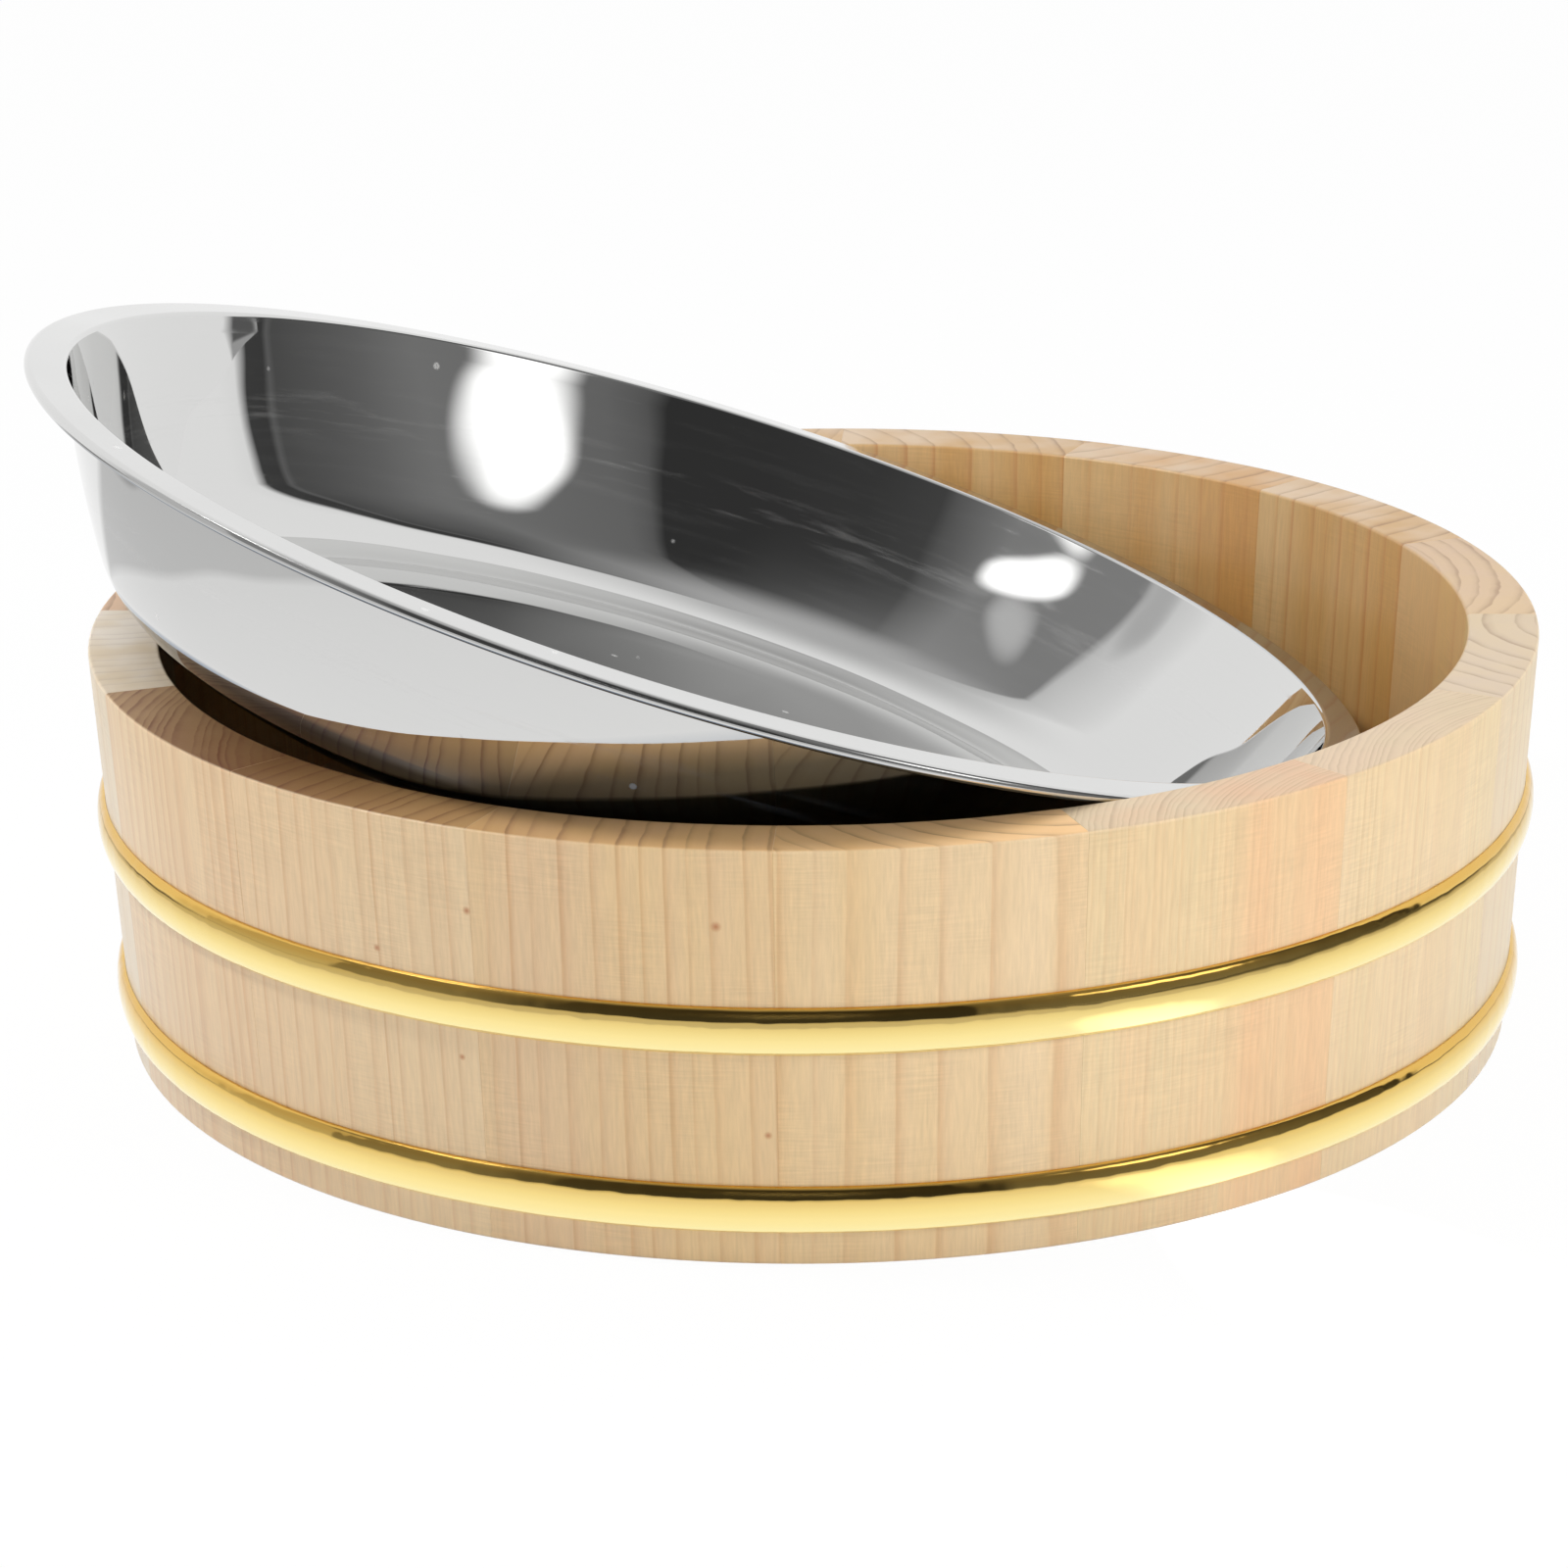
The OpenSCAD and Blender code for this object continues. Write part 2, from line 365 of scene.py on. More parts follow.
def late_wood(tree, in_mm, noise, ring_gap):
    """How much of each point is late wood: a thin line at the end of each year round the heart, which
    the slow and quick bends of the trunk push about, and which fades and changes from year to year."""
    across = add(tree, "VectorMath", {0: in_mm, 1: LEVEL}, operation="MULTIPLY")
    radius = add(tree, "VectorMath", {0: across}, operation="LENGTH").outputs["Value"]
    bent = add(tree, "Math", {0: noise["slow_bend"], 1: SLOW_PUSH, 2: radius}, operation="MULTIPLY_ADD")
    bent = add(tree, "Math", {0: noise["quick_bend"], 1: QUICK_PUSH, 2: bent}, operation="MULTIPLY_ADD")
    even_years = add(tree, "Math", {0: bent, 1: ring_gap}, operation="DIVIDE")
    spell = add(tree, "TexNoise", {
        "W": even_years, "Scale": SPELL_RATE, "Detail": 1,
    }, noise_dimensions="1D")
    years = add(tree, "Math", {0: spell, 1: SPELL_PUSH, 2: even_years}, operation="MULTIPLY_ADD")
    in_year = add(tree, "Math", {0: years}, operation="FRACT")
    year = add(tree, "Math", {0: years}, operation="FLOOR")
    line = min(LATE_MOST, LATE_LINE / ring_gap)
    rise = [(1 - widths * line, darkness) for widths, darkness in LATE_RISE]
    late = add(tree, "ValToRGB", {0: in_year},
               stops=[(0, LATE_REST), (LATE_GONE, 0), *rise, (1, LATE_REST)])
    luck = add(tree, "TexWhiteNoise", {"W": year}, noise_dimensions="1D")
    luck = add(tree, "MapRange", {"Value": luck.outputs["Value"], "To Min": 0.45, "To Max": 1})
    fade = add(tree, "MapRange", {
        "Value": noise["line_fade"], "From Min": 0.3, "From Max": 0.6, "To Min": 0.55, "To Max": 1,
    })
    late = add(tree, "Math", {0: late, 1: luck}, operation="MULTIPLY")
    return add(tree, "Math", {0: late, 1: fade}, operation="MULTIPLY")


def planed_side(tree, here, noise, early, late, knots):
    """Colour along the grain: darker and more golden inside the tub, a painted warm shade of the light
    bounced round in it, with late-wood lines, fibre streaks, the short cross marks that the plane leaves in
    places, and knots."""
    from_axis = add(tree, "VectorMath", {0: here, 1: LEVEL}, operation="MULTIPLY")
    from_axis = add(tree, "VectorMath", {0: from_axis}, operation="LENGTH").outputs["Value"]
    # Painted warm shade of the light bounced round inside the tub
    inside = add(tree, "MapRange", {
        "Value": from_axis, "From Min": INSIDE_R, "From Max": INSIDE_R + INSIDE_FADE,
        "To Min": 1, "To Max": 0,
    })
    early = add(tree, "Mix", {
        0: inside, 6: early, 7: linear(INSIDE_PAINTED_BOUNCE_GOLD),
    }, data_type="RGBA", blend_type="MULTIPLY").outputs[2]
    side = add(tree, "Mix", {0: late, 6: early, 7: linear(LATE_WOOD)}, data_type="RGBA").outputs[2]
    cut = add(tree, "MapRange", {
        "Value": noise["plane_cut"], "From Min": 0.3, "From Max": 0.7, "To Min": 0.94, "To Max": 1.035,
    })
    in_patch = add(tree, "MapRange", {"Value": noise["plane_patch"], "From Min": 0.42, "From Max": 0.62})
    cut = add(tree, "Mix", {0: in_patch, 2: 1.0, 3: cut})
    streak = add(tree, "MapRange", {
        "Value": noise["fibre"], "From Min": 0.3, "From Max": 0.7, "To Min": 0.925, "To Max": 1.055,
    })
    shade = add(tree, "Math", {0: cut, 1: streak}, operation="MULTIPLY")
    side = add(tree, "VectorMath", {0: side, "Scale": shade}, operation="SCALE")
    for place, size in knots:
        off = add(tree, "VectorMath", {0: here, 1: place}, operation="DISTANCE")
        knot = add(tree, "MapRange", {
            "Value": off.outputs["Value"], "From Min": KNOT_CORE * size, "From Max": KNOT_EDGE * size,
            "To Min": KNOT_STRENGTH, "To Max": 0,
        })
        side = add(tree, "Mix", {0: knot, 6: side, 7: linear(KNOT_WOOD)}, data_type="RGBA").outputs[2]
    return side


def end_grain(tree, early, late, tint):
    """Colour across the grain, which drinks more of the finish: darker, with strong late-wood arcs."""
    early = add(tree, "Mix", {
        0: 1.0, 6: early, 7: tint,
    }, data_type="RGBA", blend_type="MULTIPLY").outputs[2]
    return add(tree, "Mix", {0: late, 6: early, 7: linear(END_LATE_WOOD)}, data_type="RGBA").outputs[2]


def spruce(name, board, place, turn, knots=()):
    """Planed and sanded spruce: pale early wood with thin brown late-wood lines that run along
    the grain as streaks and show as arcs on the darker end grain, under a thin satin finish."""
    material, tree, shader = surface_material(name)
    coords = add(tree, "TexCoord")
    here = coords.outputs["Object"]
    at_heart = add(tree, "Mapping", {
        "Vector": here, "Location": place, "Rotation": turn,
    }, vector_type="TEXTURE")
    in_mm = add(tree, "VectorMath", {0: at_heart, "Scale": 1 / MM}, operation="SCALE")
    noise = {}
    for pattern, (size, detail, roughness) in SPRUCE_PATTERNS.items():
        scale = [1 / length for length in size]
        spread = add(tree, "VectorMath", {0: in_mm, 1: scale}, operation="MULTIPLY")
        noise[pattern] = add(tree, "TexNoise", {
            "Vector": spread, "Scale": 1, "Detail": detail, "Roughness": roughness,
        })

    # Early wood drifts from its pale tint to its flush along the board and towards its last edge
    along_rim = (-math.sin(turn[2]), math.cos(turn[2]), 0)
    edge_way = add(tree, "VectorMath", {0: here, 1: along_rim}, operation="DOT_PRODUCT")
    edge_share = add(tree, "MapRange", {
        "Value": edge_way.outputs["Value"], "From Min": -STAVE_HALF_W, "From Max": STAVE_HALF_W,
    })
    drift = add(tree, "Math", {
        0: edge_share, 1: EDGE_DRIFT, 2: noise["tint_drift"],
    }, operation="MULTIPLY_ADD")
    drift = add(tree, "MapRange", {"Value": drift, "From Min": 0.45, "From Max": 0.85})
    early = add(tree, "Mix", {
        0: drift, 6: linear(board.pale), 7: linear(board.flush),
    }, data_type="RGBA").outputs[2]

    late = late_wood(tree, in_mm, noise, board.ring_gap)
    side_late = add(tree, "Math", {0: late, 1: board.late}, operation="MULTIPLY")
    side = planed_side(tree, here, noise, early, side_late, knots)
    end_late = add(tree, "Math", {0: late, 1: board.end_late}, operation="MULTIPLY")
    # Painted shadow: on staves 14 to 16 the end tint changes from edge to edge to paint the bowl's shadow on
    # the rim
    end_tint_and_shadow = add(tree, "Mix", {
        0: edge_share, 6: linear(board.end), 7: linear(board.end_far),
    }, data_type="RGBA").outputs[2]
    end = end_grain(tree, early, end_late, end_tint_and_shadow)

    # What faces up or down is the end grain of a stave. A floor board's faces do so too, and stay drier.
    normal = add(tree, "SeparateXYZ", {0: coords.outputs["Normal"]})
    facing = add(tree, "Math", {0: normal.outputs["Z"]}, operation="ABSOLUTE")
    end_share = add(tree, "MapRange", {"Value": facing, "From Min": 0.6, "From Max": 0.95})
    gloss = add(tree, "MapRange", {"Value": noise["fibre"], "To Min": 0.36, "To Max": 0.5})
    link(tree, shader, {
        "Base Color": add(tree, "Mix", {0: end_share, 6: side, 7: end}, data_type="RGBA").outputs[2],
        "Roughness": add(tree, "Math", {0: end_share, 1: END_ROUGHNESS, 2: gloss}, operation="MULTIPLY_ADD"),
        "Coat Weight": add(tree, "MapRange", {"Value": end_share, "To Min": 0.5, "To Max": 0.12}),
        "Normal": add(tree, "Bump", {"Height": noise["fibre"], "Strength": 0.3, "Distance": FIBRE_HEIGHT}),
    })
    shader.inputs["Coat Roughness"].default_value = 0.28
    return material


# Strands of bamboo: their width and their tints
BAMBOO_STRAND = 0.6 * MM
STRAND_TINTS = [(0.35, "#B59A5E"), (0.65, "#D9C184")]


def bamboo():
    """Split and rounded bamboo: straw yellow with fine darker strands along the peg."""
    material, tree, shader = surface_material("bamboo_peg")
    coords = add(tree, "TexCoord")
    strand_at = add(tree, "VectorMath", {
        0: coords.outputs["Object"], "Scale": 1 / BAMBOO_STRAND,
    }, operation="SCALE")
    strand = add(tree, "TexNoise", {"Vector": strand_at, "Scale": 1, "Detail": 2})
    colour = add(tree, "ValToRGB", {0: strand},
                 stops=[(share, linear(tint)) for share, tint in STRAND_TINTS])
    link(tree, shader, {"Base Color": colour})
    shader.inputs["Roughness"].default_value = 0.5
    return material


# Dents of the brass, and its tints from its lower edge to its upper: a painted shade, deeper and darker
# gold as it faces up
DENT_GAP = 14 * MM
DENT_DEPTH = 0.45 * MM
BRASS_PAINTED_SHADE_TINTS = [
    (0.02, "#FFEFAE"), (0.32, "#FEE89E"), (0.5, "#F6DB8B"),
    (0.59, "#EDCF81"), (0.72, "#EBC770"), (0.95, "#E5B95E"),
]


def polished_brass():
    """Brass strip, rolled to a half oval, buffed and lacquered: a bright yellow mirror with small dents,
    with a painted shade of deeper, darker gold on its upper half, which faces up."""
    material, tree, shader = surface_material("polished_brass")
    coords = add(tree, "TexCoord")
    dent_at = add(tree, "VectorMath", {
        0: coords.outputs["Object"], "Scale": 1 / DENT_GAP,
    }, operation="SCALE")
    dent = add(tree, "TexNoise", {"Vector": dent_at, "Scale": 1, "Detail": 2})
    # Painted shade: the tint turns a deeper, darker gold as the surface faces up
    normal = add(tree, "SeparateXYZ", {0: coords.outputs["Normal"]})
    rise = add(tree, "MapRange", {"Value": normal.outputs["Z"], "From Min": -0.5, "From Max": 0.5})
    link(tree, shader, {
        "Base Color": add(tree, "ValToRGB", {0: rise},
                          stops=[(share, linear(tint)) for share, tint in BRASS_PAINTED_SHADE_TINTS]),
        "Roughness": add(tree, "MapRange", {"Value": dent, "To Min": 0.05, "To Max": 0.1}),
        "Normal": add(tree, "Bump", {"Height": dent, "Strength": 1.0, "Distance": DENT_DEPTH}),
    })
    shader.inputs["Metallic"].default_value = 1
    return material


# Waves that the spinning leaves in the bowl and ripples on them. Towards the base, from a share of the
# depth on, the sheet is stiffer and they get weaker.
WAVE_GAP = 42 * MM
WAVE_DEPTH = 1.0 * MM
WAVE_SEED = 4
RIPPLE_GAP = 20 * MM
RIPPLE_DEPTH = 0.14 * MM
STIFF_FROM = 0.7
STIFF_WAVES = 0.25

# Haze of the bowl: rings of polishing marks, drawn wider than real scratches, which are too fine to
# show, the patches in which they come, the width over which the flange starts, and the roughness that
# it adds
POLISH_RING = 1.5 * MM
POLISH_PATCH = 18 * MM
FLANGE_EASE = 1 * MM
FLANGE_ROUGHNESS = 0.06

# Dirt of the bowl: wiped streaks, many times as long as high, in a band round the wall, and dried drops,
# each with a dull middle that has faded at its edge
SMEAR_LENGTH = 30 * MM
SMEAR_FLATNESS = 14
SMEAR_Z = -19 * MM
SMEAR_REACH = 7 * MM
DROP_GAP = 21 * MM
DROP_MIDDLE_R = 0.63 * MM
DROP_EDGE_R = 1.05 * MM

# Tints of the steel, from its underside to what faces out or up: a painted shade, darker and bluer
# underneath, that dims and greys the wood it mirrors there; and a painted shade of grey on its flange on
# the low side, between two distances from the bowl's middle
STEEL_PAINTED_SHADE_TINTS = [(0, "#5E6670"), (0.64, "#8A95A3"), (1, "#D8D8D7")]
FLANGE_PAINTED_SHADE_GREY = "#9AA2AD"
FLANGE_SHADE_FROM = 80 * MM
FLANGE_SHADE_FULL = 130 * MM


def spun_waves(tree, in_bowl, height):
    """Slow waves of the sheet with ripples on them, weaker towards the base."""
    slack = add(tree, "MapRange", {
        "Value": height, "From Min": -BOWL_DEPTH, "From Max": -STIFF_FROM * BOWL_DEPTH,
        "To Min": STIFF_WAVES, "To Max": 1,
    })
    wave_at = add(tree, "VectorMath", {0: in_bowl, "Scale": 1 / WAVE_GAP}, operation="SCALE")
    wave = add(tree, "TexNoise", {
        "Vector": wave_at, "W": WAVE_SEED, "Scale": 1, "Detail": 0,
    }, noise_dimensions="4D")
    bump = add(tree, "Bump", {"Height": wave, "Strength": slack, "Distance": WAVE_DEPTH})
    ripple_at = add(tree, "VectorMath", {0: in_bowl, "Scale": 1 / RIPPLE_GAP}, operation="SCALE")
    ripple = add(tree, "TexNoise", {"Vector": ripple_at, "Scale": 1, "Detail": 0})
    return add(tree, "Bump", {
        "Height": ripple, "Strength": slack, "Distance": RIPPLE_DEPTH, "Normal": bump,
    })


def polish_haze(tree, in_bowl, from_axis, height):
    """Roughness of the polish, with hazy rings of marks that come and go."""
    ring_at = add(tree, "CombineXYZ", {"X": from_axis, "Y": height})
    ring_at = add(tree, "VectorMath", {0: ring_at, "Scale": 1 / POLISH_RING}, operation="SCALE")
    ring = add(tree, "TexNoise", {"Vector": ring_at, "Scale": 1, "Detail": 2})
    ring = add(tree, "MapRange", {"Value": ring, "From Min": 0.5, "From Max": 0.75})
    patch_at = add(tree, "VectorMath", {0: in_bowl, "Scale": 1 / POLISH_PATCH}, operation="SCALE")
    patch = add(tree, "TexNoise", {"Vector": patch_at, "Scale": 1, "Detail": 3})
    patch = add(tree, "MapRange", {"Value": patch, "From Min": 0.5, "From Max": 0.7})
    mark = add(tree, "Math", {0: ring, 1: patch}, operation="MULTIPLY")
    return add(tree, "MapRange", {"Value": mark, "To Min": 0.015, "To Max": 0.13})


def dried_dirt(tree, in_bowl, height):
    """A band of wiped streaks half way up the wall and a few dried drops, which scatter a little light."""
    smear_at = add(tree, "VectorMath", {0: in_bowl, 1: (1, 1, SMEAR_FLATNESS)}, operation="MULTIPLY")
    smear_at = add(tree, "VectorMath", {0: smear_at, "Scale": 1 / SMEAR_LENGTH}, operation="SCALE")
    smear = add(tree, "TexNoise", {"Vector": smear_at, "Scale": 1, "Detail": 4, "Roughness": 0.6})
    smear = add(tree, "MapRange", {"Value": smear, "From Min": 0.5, "From Max": 0.75, "To Max": 0.16})
    from_band = add(tree, "Math", {0: height, 1: SMEAR_Z}, operation="SUBTRACT")
    from_band = add(tree, "Math", {0: from_band}, operation="ABSOLUTE")
    in_band = add(tree, "MapRange", {
        "Value": from_band, "From Max": SMEAR_REACH, "To Min": 1, "To Max": 0.1,
    }, interpolation_type="SMOOTHSTEP")
    smear = add(tree, "Math", {0: smear, 1: in_band}, operation="MULTIPLY")
    drop_at = add(tree, "VectorMath", {0: in_bowl, "Scale": 1 / DROP_GAP}, operation="SCALE")
    drops = add(tree, "TexVoronoi", {"Vector": drop_at, "Scale": 1})
    drop = add(tree, "MapRange", {
        "Value": drops.outputs["Distance"],
        "From Min": DROP_MIDDLE_R / DROP_GAP, "From Max": DROP_EDGE_R / DROP_GAP,
        "To Min": 0.55, "To Max": 0,
    })
    return add(tree, "Math", {0: smear, 1: drop}, operation="ADD")


def mirror_steel():
    """Stainless sheet, spun and mirror polished: sharp neutral reflections with slow waves left by
    the spinning, hazy rings of polishing marks, a wiped band and dried drops, a painted shade that darkens
    and blues the underside, and a flange that is hazy and, on the low side, painted a shaded grey."""
    material, tree, shader = surface_material("mirror_steel")
    coords = add(tree, "TexCoord")
    in_bowl = add(tree, "Mapping", {
        "Vector": coords.outputs["Object"],
        "Location": Matrix.Rotation(BOWL_LOW_SIDE, 3, "Z") @ BOWL_REST,
        "Rotation": (0, BOWL_LEAN, BOWL_LOW_SIDE),
    }, vector_type="TEXTURE")
    sides = add(tree, "SeparateXYZ", {0: in_bowl})
    height = sides.outputs["Z"]
    from_axis = add(tree, "VectorMath", {0: in_bowl, 1: LEVEL}, operation="MULTIPLY")
    from_axis = add(tree, "VectorMath", {0: from_axis}, operation="LENGTH").outputs["Value"]
    flange = add(tree, "MapRange", {
        "Value": from_axis, "From Min": WALL_TOP_R, "From Max": WALL_TOP_R + FLANGE_EASE,
    })
    haze = polish_haze(tree, in_bowl, from_axis, height)
    dirt = dried_dirt(tree, in_bowl, height)

    # Painted shade: darker and bluer where the surface faces down
    normal = add(tree, "SeparateXYZ", {0: coords.outputs["Normal"]})
    rise = add(tree, "MapRange", {"Value": normal.outputs["Z"], "From Min": -0.45, "From Max": -0.31})
    tint = add(tree, "ValToRGB", {0: rise},
               stops=[(share, linear(steel)) for share, steel in STEEL_PAINTED_SHADE_TINTS])
    # Painted shade: the flange's low side is greyed, dimming the wood it mirrors
    rubbed = add(tree, "MapRange", {
        "Value": sides.outputs["X"], "From Min": FLANGE_SHADE_FROM, "From Max": FLANGE_SHADE_FULL,
    })
    rubbed = add(tree, "Math", {0: rubbed, 1: flange}, operation="MULTIPLY")
    tint = add(tree, "Mix", {0: rubbed, 6: tint, 7: linear(FLANGE_PAINTED_SHADE_GREY)}, data_type="RGBA").outputs[2]
    link(tree, shader, {
        "Base Color": tint,
        "Metallic": add(tree, "Math", {0: 1, 1: dirt}, operation="SUBTRACT"),
        "Roughness": add(tree, "Math", {0: flange, 1: FLANGE_ROUGHNESS, 2: haze}, operation="MULTIPLY_ADD"),
        "Normal": spun_waves(tree, in_bowl, height),
    })
    return material


# Tub

def make_first_stave():
    """One stave from the first joint on: its section spun over its share of the ring."""
    groove_low = FLOOR_LOW - FLOOR_FIT
    groove_top = FLOOR_TOP + FLOOR_FIT
    groove_r = FLOOR_R + FLOOR_FIT
    stave = draw_section("stave", [
        (inner_r(0), 0),
        (outer_r(0), 0),
        (outer_r(TUB_H), TUB_H),
        (inner_r(TUB_H), TUB_H),
        (inner_r(groove_top), groove_top),
        (groove_r, groove_top),
        (groove_r, groove_low),
        (inner_r(groove_low), groove_low),
    ])
    bpy.ops.mesh.select_all(action="SELECT")
    bpy.ops.mesh.edge_face_add()
    pick(stave, "VERT", lambda v: v.co.z < EDGE_EASE or v.co.z > TUB_H - EDGE_EASE)
    bpy.ops.mesh.bevel(offset=EDGE_EASE, segments=EASE_STEPS, affect="VERTICES")
    spin_round(STAVE_ANGLE, STAVE_STEPS)

    def on_joint(edge):
        """Both ends lie in the plane where the stave starts or in the one where it ends."""
        turns = [abs(math.atan2(v.co.y, v.co.x)) for v in edge.verts]
        return max(turns) < TURN_SLACK or min(turns) > STAVE_ANGLE - TURN_SLACK

    pick(stave, "EDGE", on_joint)
    bpy.ops.mesh.bevel(offset=JOINT_EASE, segments=1, affect="EDGES")
    smooth(stave)
    return stave


def stave_wood(name, board, start):
    """The wood of the stave that starts at a turn of the ring: its board cut from its own place in a
    trunk that leans as the stave does."""
    middle = start + STAVE_ANGLE / 2
    out = Vector((math.cos(middle), math.sin(middle), 0))
    heart = middle + math.radians(board.heart_turn)
    towards = Vector((math.cos(heart), math.sin(heart), 0))
    place = out * (RIM_R - STAVE_T / 2) + towards * board.heart_reach * MM + Vector((0, 0, TUB_H))
    knots = []
    for knot_turn, height, size in board.knots:
        at = start + math.radians(knot_turn)
        reach = outer_r(height * MM)
        knots.append(((reach * math.cos(at), reach * math.sin(at), height * MM), size * MM))
    return spruce("spruce_" + name, board, place, (0, STAVE_LEAN, middle), knots)


def make_staves():
    """The ring of staves: copies of the first, each turned to its place and given its own wood."""
    first = make_first_stave()
    for i, board in enumerate(STAVE_BOARDS):
        name = f"stave_{i + 1:02d}"
        bpy.ops.object.select_all(action="DESELECT")
        first.select_set(True)
        bpy.context.view_layer.objects.active = first
        bpy.ops.object.duplicate()
        stave = bpy.context.object
        stave.name = "planed_" + name
        start = FIRST_JOINT + i * STAVE_ANGLE
        stave.rotation_euler.z = start
        bpy.ops.object.transform_apply(location=False, rotation=True, scale=False)
        dress(stave, "tub", name, stave_wood(name, board, start))
    bpy.data.objects.remove(first)


def make_hoop(name, height, material):
    """A half-oval band around the staves."""
    crown = HOOP_T - 2 * HOOP_FIT
    turns = [math.pi * (i / HOOP_ARC_STEPS - 0.5) for i in range(HOOP_ARC_STEPS + 1)]
    outline = []
    for turn in turns:
        z = height + HOOP_W / 2 * math.sin(turn)
        outline.append((outer_r(z) + HOOP_FIT + crown * math.cos(turn), z))
    hoop = draw_section("polished_" + name, outline + outline[:1])
    spin_round(math.tau, RING_STEPS)
    smooth(hoop)
    dress(hoop, "tub", name, material)


def make_floor():
    """The boards and the hidden pegs keep their solids and get their woods. The boards' grain runs
    from front to back, with the heart on the left of one board and on the right of the next."""
    heart_z = (FLOOR_LOW + FLOOR_TOP) / 2 - FLOOR_HEART_UNDER
    grain_turn = (math.radians(90), 0, 0)
    for i, ring_gap in enumerate(FLOOR_RING_GAPS):
        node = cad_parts[f"floor_board_{i + 1:02d}"]
        low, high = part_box(node.name)
        board = Board(0, 0, ring_gap, 0.4, 0.5, STRAW, BUFF, TAN_END, TAN_END)
        aside = FLOOR_HEART_ASIDE * (-1, 1)[i % 2]
        place = Vector(((low.x + high.x) / 2 + aside, 0, heart_z))
        node.material_slots[0].material = spruce("spruce_" + node.name, board, place, grain_turn)
    peg_wood = bamboo()
    for name in ("stave_pegs", "floor_pegs"):
        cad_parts[name].material_slots[0].material = peg_wood


# Bowl

def bowl_outline():
    """Upright cut through the sheet: out along the underside, round the curled edge and back."""
    foot_r = WALL_TOP_R - BOWL_DEPTH * math.tan(WALL_SLOPE)
    corner = (foot_r - CORNER_R / math.tan(math.pi / 4 + WALL_SLOPE / 2), CORNER_R - BOWL_DEPTH)
    curl = Vector((FLANGE_R - CURL_R, 0))
    along = Vector((math.cos(FLANGE_DROOP), -math.sin(FLANGE_DROOP)))
    above = Vector((math.sin(FLANGE_DROOP), math.cos(FLANGE_DROOP)))
    wall_out = Vector((math.cos(WALL_SLOPE), -math.sin(WALL_SLOPE)))
    curl_foot = curl - (BEND_R + SHEET_T - CURL_R) * above
    reach = (curl_foot - Vector((WALL_TOP_R, 0))).dot(wall_out) - BEND_R
    bend = curl_foot - reach / math.cos(FLANGE_DROOP - WALL_SLOPE) * along
    flange_turn = math.pi / 2 - FLANGE_DROOP
    wall_foot = WALL_SLOPE + WALL_BOW
    wall_head = WALL_SLOPE - WALL_BOW
    wall_turn = math.pi - wall_head
    curl_start = math.pi - math.asin((CURL_R - SHEET_T) / CURL_R) - FLANGE_DROOP
    foot_way = Vector((math.sin(wall_foot), math.cos(wall_foot)))
    head_way = Vector((math.sin(wall_head), math.cos(wall_head)))
    under_corner = arc(corner, CORNER_R, -math.pi / 2, -wall_foot)
    under_bend = arc(bend, BEND_R, wall_turn, flange_turn)
    over_bend = arc(bend, BEND_R + SHEET_T, flange_turn, wall_turn)
    over_corner = arc(corner, CORNER_R - SHEET_T, -wall_foot, -math.pi / 2)
    runs = [
        [(0, -BOWL_DEPTH)],
        under_corner + bow(under_corner[-1], foot_way, under_bend[0], head_way) + under_bend,
        arc(curl, CURL_R, curl_start, math.tau + flange_turn),
        over_bend + bow(over_bend[-1], head_way, over_corner[0], foot_way) + over_corner,
        [(0, SHEET_T - BOWL_DEPTH)],
    ]
    points = []
    for run in runs:
        if points:
            last, first = Vector(points[-1]), Vector(run[0])
            points += [tuple(last.lerp(first, share)) for share in (BEND_HOLD, 1 - BEND_HOLD)]
        points += run
    return points


def make_bowl():
    """The bowl, spun upright and then leaned to where it rests in the tub."""
    bowl = draw_section("spun_bowl", bowl_outline())
    spin_round(math.tau, RING_STEPS)
    smooth(bowl)
    pose = (Matrix.Rotation(BOWL_LOW_SIDE, 4, "Z") @ Matrix.Translation(BOWL_REST)
            @ Matrix.Rotation(BOWL_LEAN, 4, "Y"))
    bowl.matrix_world = pose
    bpy.ops.object.transform_apply()
    dress(bowl, "bowl", "bowl", mirror_steel())


# Studio

def make_camera():
    """The photograph's camera: looking down from the front, with the small turns of the fit."""
    ahead = Vector((0, math.cos(CAMERA_DOWN), -math.sin(CAMERA_DOWN)))
    right = Vector((1, 0, 0))
    axes = {"right": right, "ahead": ahead, "top": right.cross(ahead)}
    for axis, angle in (("top", CAMERA_YAW), ("right", CAMERA_TILT), ("ahead", CAMERA_ROLL)):
        turn = Matrix.Rotation(angle, 3, axes[axis])
        axes = {name: turn @ way for name, way in axes.items()}
    data = bpy.data.cameras.new("photo_camera")
    data.sensor_width = SENSOR
    data.lens = PHOTO_FOCAL / PHOTO_SIZE * SENSOR
    camera = bpy.data.objects.new("photo_camera", data)
    bpy.context.scene.collection.objects.link(camera)
    facing = Matrix((axes["right"], axes["top"], -axes["ahead"])).transposed().to_4x4()
    camera.matrix_world = Matrix.Translation(CAMERA_PLACE) @ facing
    bpy.context.scene.camera = camera


# A soft-edged patch of brightness: its middle and half size on two coordinates, how square it is, and
# how soft its edge is
Patch = namedtuple("Patch", "middle half squareness edge brightness")


